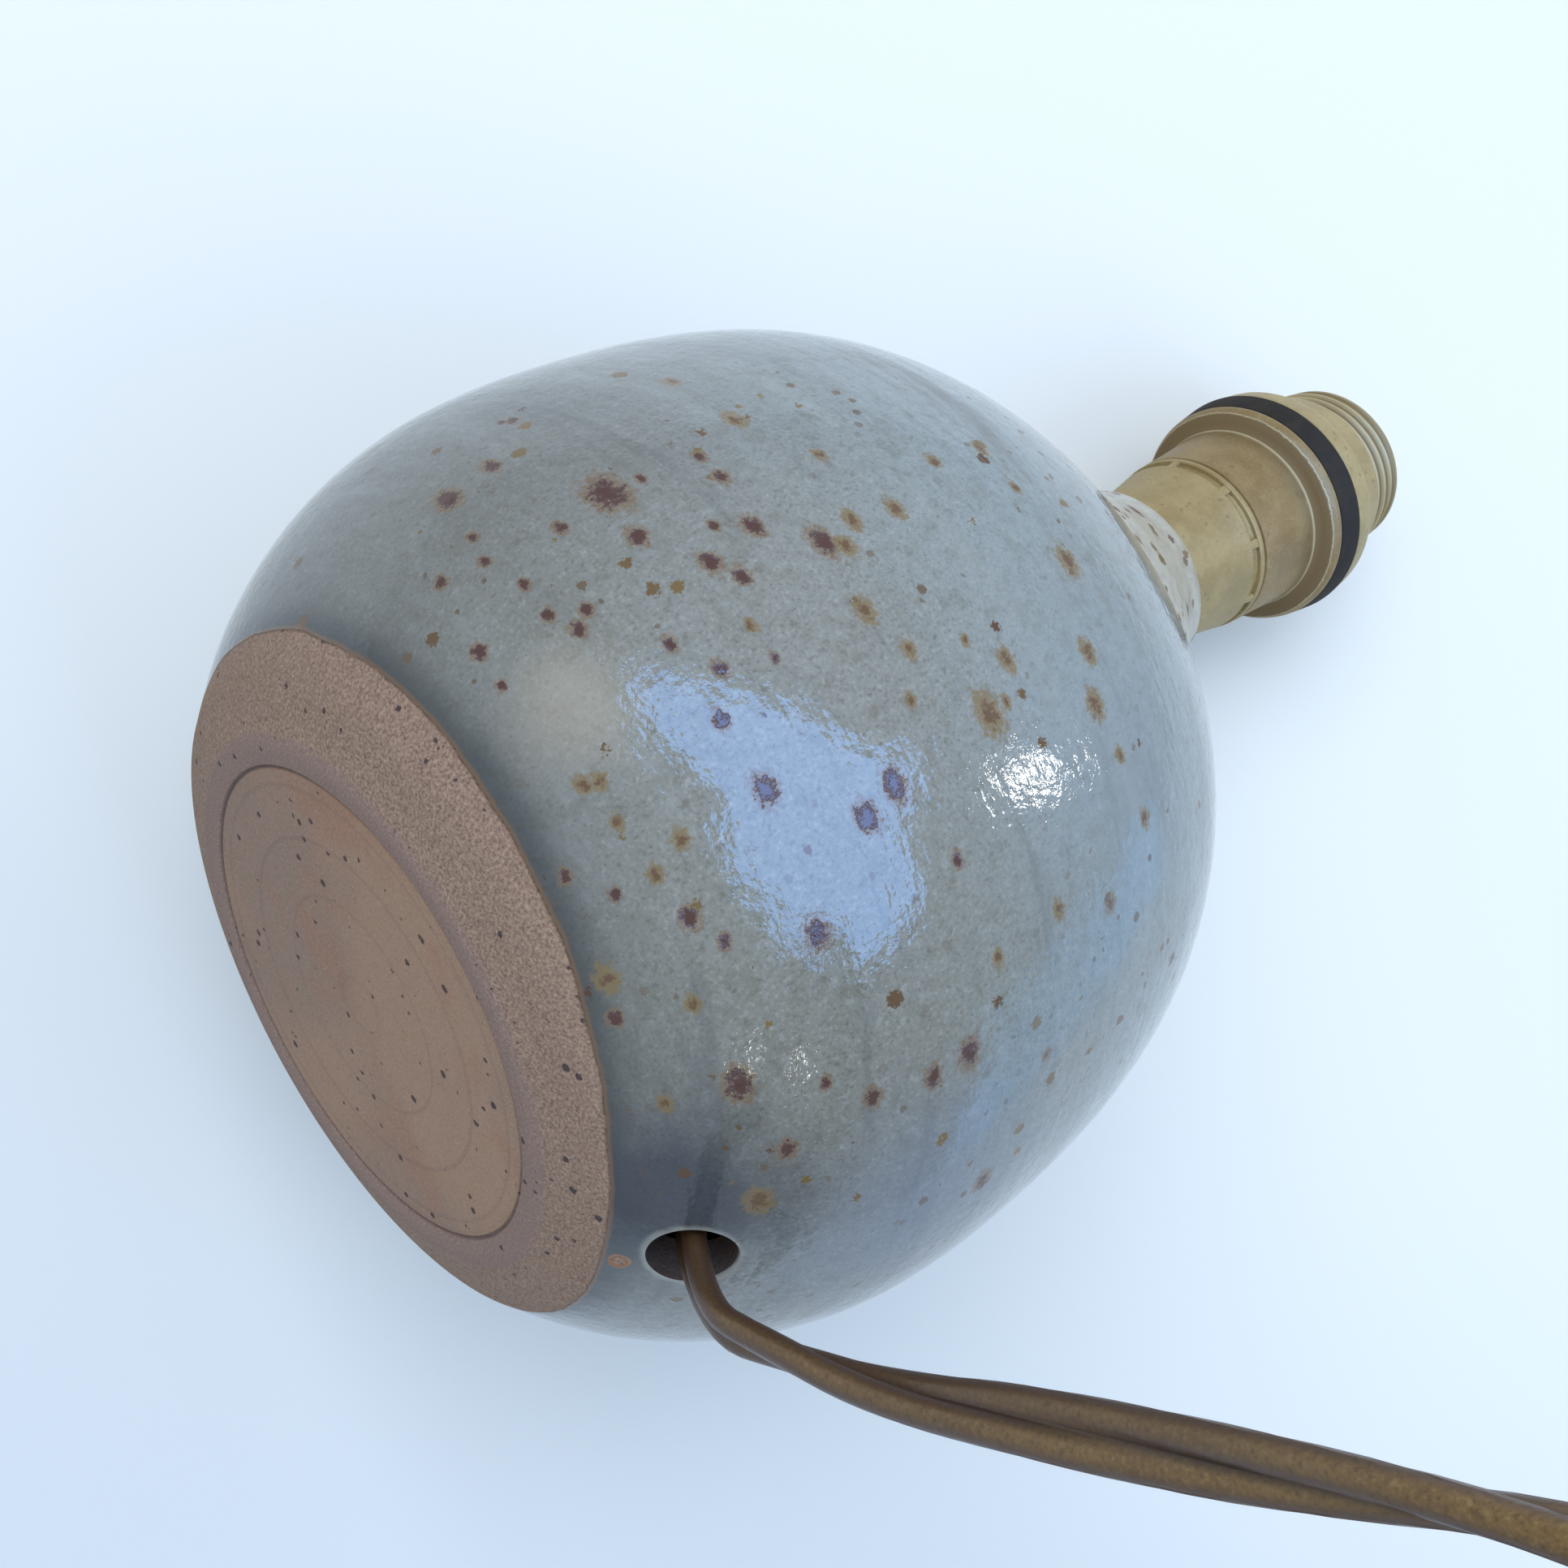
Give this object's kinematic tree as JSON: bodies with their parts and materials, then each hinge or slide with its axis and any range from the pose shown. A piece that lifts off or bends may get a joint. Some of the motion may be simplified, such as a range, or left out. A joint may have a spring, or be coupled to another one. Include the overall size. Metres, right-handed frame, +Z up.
{
  "type": "table lamp base",
  "caption": "Round-bellied stoneware table lamp base with a narrow neck, a small screw lampholder with a shade ring, and a twin flex with inline switch and plug.",
  "frame": {"origin": "centre of the foot on the table", "axes": "+Z up along the lamp's axis, +Y towards the cable hole, +X to the side that the flex leans to"},
  "size_m": [0.1833, 0.2676, 0.1973],
  "materials": {
    "stoneware_glaze": "satin-gloss grey-blue glaze with iron spots",
    "holder_plastic": "gold-beige metallic plastic",
    "ring_black": "black",
    "ring_plastic": "grey-beige plastic",
    "core_plastic": "off-white heat-resistant plastic",
    "brass": "brass",
    "steel": "zinc-plated steel",
    "flex": "gold-bronze twin flex",
    "switch_plastic": "gold-bronze plastic",
    "plug_plastic": "gold-bronze plastic",
    "nickel": "nickel-plated",
    "tie": "black tie strap"
  },
  "bodies": {
    "base": {"ceramic_body": "stoneware_glaze", "lower_cap": "holder_plastic", "outer_sleeve": "holder_plastic", "socket_core": "core_plastic", "screw_shell": "brass", "centre_contact": "brass", "terminal_live": "brass", "terminal_neutral": "brass", "terminal_screw_live": "steel", "terminal_screw_neutral": "steel", "threaded_tube": "steel", "clamp_washer": "steel", "lock_nut": "steel", "toggle_bar": "steel", "toggle_nut": "steel", "inner_cord": "flex", "cord_lead": "flex", "cord_coil": "flex", "coil_tie": "tie", "cord_mid": "flex", "switch_base": "switch_plastic", "switch_cover": "switch_plastic", "switch_screw_a": "steel", "switch_screw_b": "steel", "rocker_pin": "steel", "switch_bridge": "brass", "cord_tail": "flex", "plug_body": "plug_plastic", "plug_pin_a": "nickel", "plug_pin_b": "nickel"},
    "gasket": {"black_gasket": "ring_black"},
    "shade_ring": {"shade_ring": "ring_plastic"},
    "rocker": {"switch_rocker": "switch_plastic"}
  },
  "joints": [
    {"name": "gasket_lift", "type": "slide", "parent": "base", "child": "gasket", "axis": [0, 0, 1], "range_m": [0, 0.018]},
    {"name": "ring_turn", "type": "hinge", "parent": "gasket", "child": "shade_ring", "pos_m": [0, 0, 0.183], "axis": [0, 0, 1], "range_deg": [0, 3240]},
    {"name": "rocker_tilt", "type": "hinge", "parent": "base", "child": "rocker", "pos_m": [-0.02131, 0.12037, 0.0126], "axis": [0.8988, -0.4384, 0], "range_deg": [0, 18]}
  ],
  "couplings": [
    {"joint": "gasket_lift", "follows": "ring_turn", "m_per_rad": 0.00031831}
  ]
}
